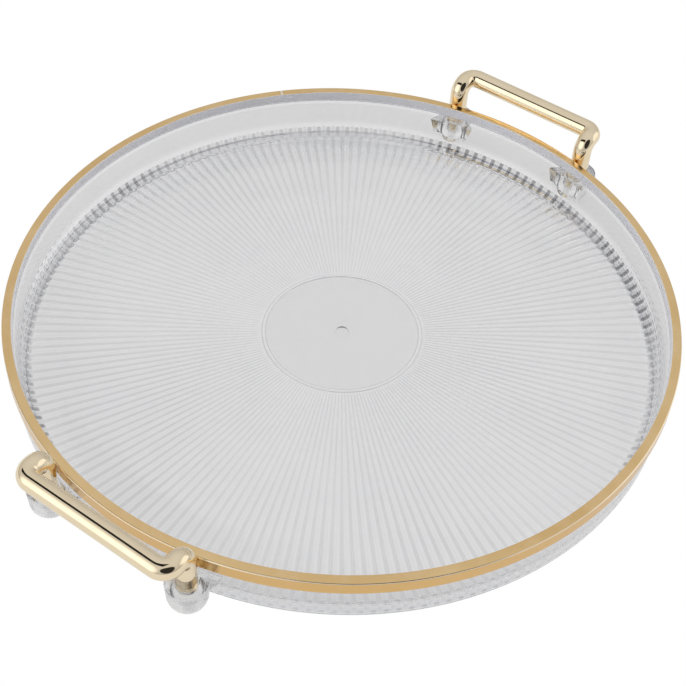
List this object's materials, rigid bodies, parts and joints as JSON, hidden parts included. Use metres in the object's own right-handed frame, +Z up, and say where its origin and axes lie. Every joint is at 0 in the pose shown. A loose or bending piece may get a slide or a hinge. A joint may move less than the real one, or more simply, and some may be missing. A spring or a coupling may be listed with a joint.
{
  "type": "vanity tray",
  "caption": "Round shallow tray in clear ribbed plastic with a gold foil rim and lift-out gold rod handles held in clear sockets, for keeping perfume bottles on a dresser.",
  "frame": {"origin": "centre of the tray, on the surface that it stands on", "axes": "+Z up, +X from the tray's centre to the right handle, +Y along the handles' grip bars"},
  "size_m": [0.3544, 0.32, 0.0417],
  "materials": {
    "clear_plastic": "clear gloss, colourless",
    "gold_foil": "hot-stamped gold foil, glossy",
    "gold_plating": "pale champagne gold plating, mirror polished"
  },
  "bodies": {
    "tray": {"tray": "clear_plastic", "rim_top_foil": "gold_foil", "rim_side_foil": "gold_foil"},
    "handle_left": {"handle_left": "gold_plating"},
    "handle_right": {"handle_right": "gold_plating"}
  },
  "joints": [
    {"name": "handle_left_lift", "type": "slide", "parent": "tray", "child": "handle_left", "axis": [0, 0, 1], "range_m": [0, 0.03]},
    {"name": "handle_right_lift", "type": "slide", "parent": "tray", "child": "handle_right", "axis": [0, 0, 1], "range_m": [0, 0.03]}
  ]
}
